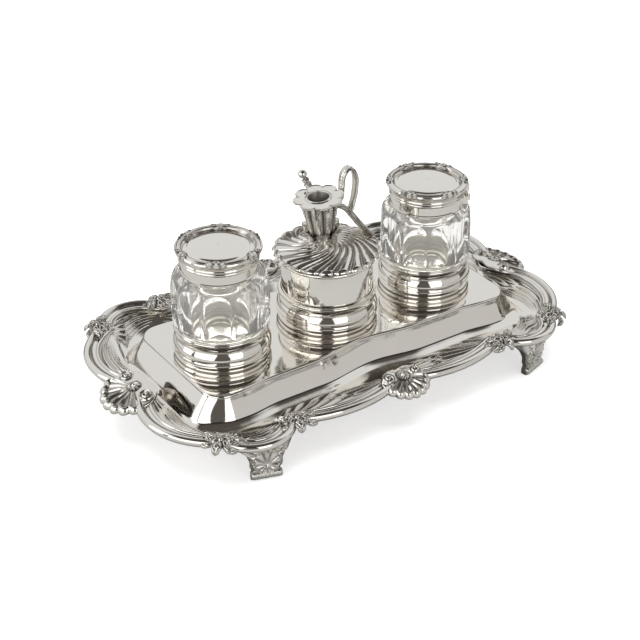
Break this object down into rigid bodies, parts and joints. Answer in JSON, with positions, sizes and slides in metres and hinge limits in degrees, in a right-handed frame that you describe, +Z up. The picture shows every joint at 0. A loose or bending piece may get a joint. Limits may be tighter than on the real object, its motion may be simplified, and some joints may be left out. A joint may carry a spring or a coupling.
{
  "type": "desk inkstand",
  "caption": "Footed silver desk tray with raised deck, cut-glass ink bottles with hinged lids, and a wafer box whose cover is a taperstick.",
  "frame": {"origin": "centre of the tray's plan, on the table under the feet", "axes": "+X along the tray through both bottles, +Y to the back, +Z up"},
  "size_m": [0.3514, 0.2138, 0.1452],
  "materials": {
    "polished_silver": "polished sheet silver with a faint warm tarnish",
    "cast_silver": "cast and chased silver, bright on the high points and dark in the hollows",
    "crystal": "clear flat-cut lead glass"
  },
  "bodies": {
    "tray": {"tray_well": "polished_silver", "platform": "polished_silver", "border_moulding": "polished_silver", "front_shell": "cast_silver", "back_shell": "cast_silver", "left_shell": "cast_silver", "right_shell": "cast_silver", "end_leaf_clusters": "cast_silver", "side_leaf_clusters": "cast_silver", "foot_front_left": "cast_silver", "foot_front_right": "cast_silver", "foot_back_left": "cast_silver", "foot_back_right": "cast_silver", "left_gallery": "polished_silver", "right_gallery": "polished_silver", "centre_gallery": "polished_silver"},
    "left_bottle": {"left_glass": "crystal", "left_collar": "polished_silver", "left_hinge_pin": "polished_silver"},
    "left_lid": {"left_lid": "polished_silver", "left_lid_border": "polished_silver", "left_lid_knuckle": "polished_silver"},
    "right_bottle": {"right_glass": "crystal", "right_collar": "polished_silver", "right_hinge_pin": "polished_silver"},
    "right_lid": {"right_lid": "polished_silver", "right_lid_border": "polished_silver", "right_lid_knuckle": "polished_silver"},
    "wafer_box": {"box_wall": "polished_silver", "box_base": "polished_silver", "box_rim_wire": "polished_silver"},
    "taperstick": {"cover_shell": "polished_silver", "cover_bezel": "polished_silver", "stem": "polished_silver", "calyx_leaves": "cast_silver", "ring_handle": "cast_silver", "handle_leaf": "cast_silver", "extinguisher_spike": "polished_silver"},
    "nozzle": {"nozzle_tube": "polished_silver", "drip_pan": "polished_silver"},
    "extinguisher": {"extinguisher_cone": "polished_silver", "extinguisher_finial": "polished_silver"}
  },
  "joints": [
    {"name": "left_bottle_lift", "type": "slide", "parent": "tray", "child": "left_bottle", "axis": [0, 0, 1], "range_m": [0, 0.06]},
    {"name": "left_lid_hinge", "type": "hinge", "parent": "left_bottle", "child": "left_lid", "pos_m": [-0.06889, 0.02388, 0.1053], "axis": [-0.829, 0.5592, 0], "range_deg": [0, 100]},
    {"name": "right_bottle_lift", "type": "slide", "parent": "tray", "child": "right_bottle", "axis": [0, 0, 1], "range_m": [0, 0.06]},
    {"name": "right_lid_hinge", "type": "hinge", "parent": "right_bottle", "child": "right_lid", "pos_m": [0.10888, -0.01611, 0.1053], "axis": [0.5592, 0.829, 0], "range_deg": [0, 100]},
    {"name": "wafer_box_lift", "type": "slide", "parent": "tray", "child": "wafer_box", "axis": [0, 0, 1], "range_m": [0, 0.055]},
    {"name": "taperstick_lift", "type": "slide", "parent": "wafer_box", "child": "taperstick", "axis": [0, 0, 1], "range_m": [0, 0.03]},
    {"name": "nozzle_lift", "type": "slide", "parent": "taperstick", "child": "nozzle", "axis": [-0.0958, 0, 0.9954], "range_m": [0, 0.025]},
    {"name": "extinguisher_lift", "type": "slide", "parent": "taperstick", "child": "extinguisher", "axis": [-0.4384, 0, 0.8988], "range_m": [0, 0.04]}
  ]
}
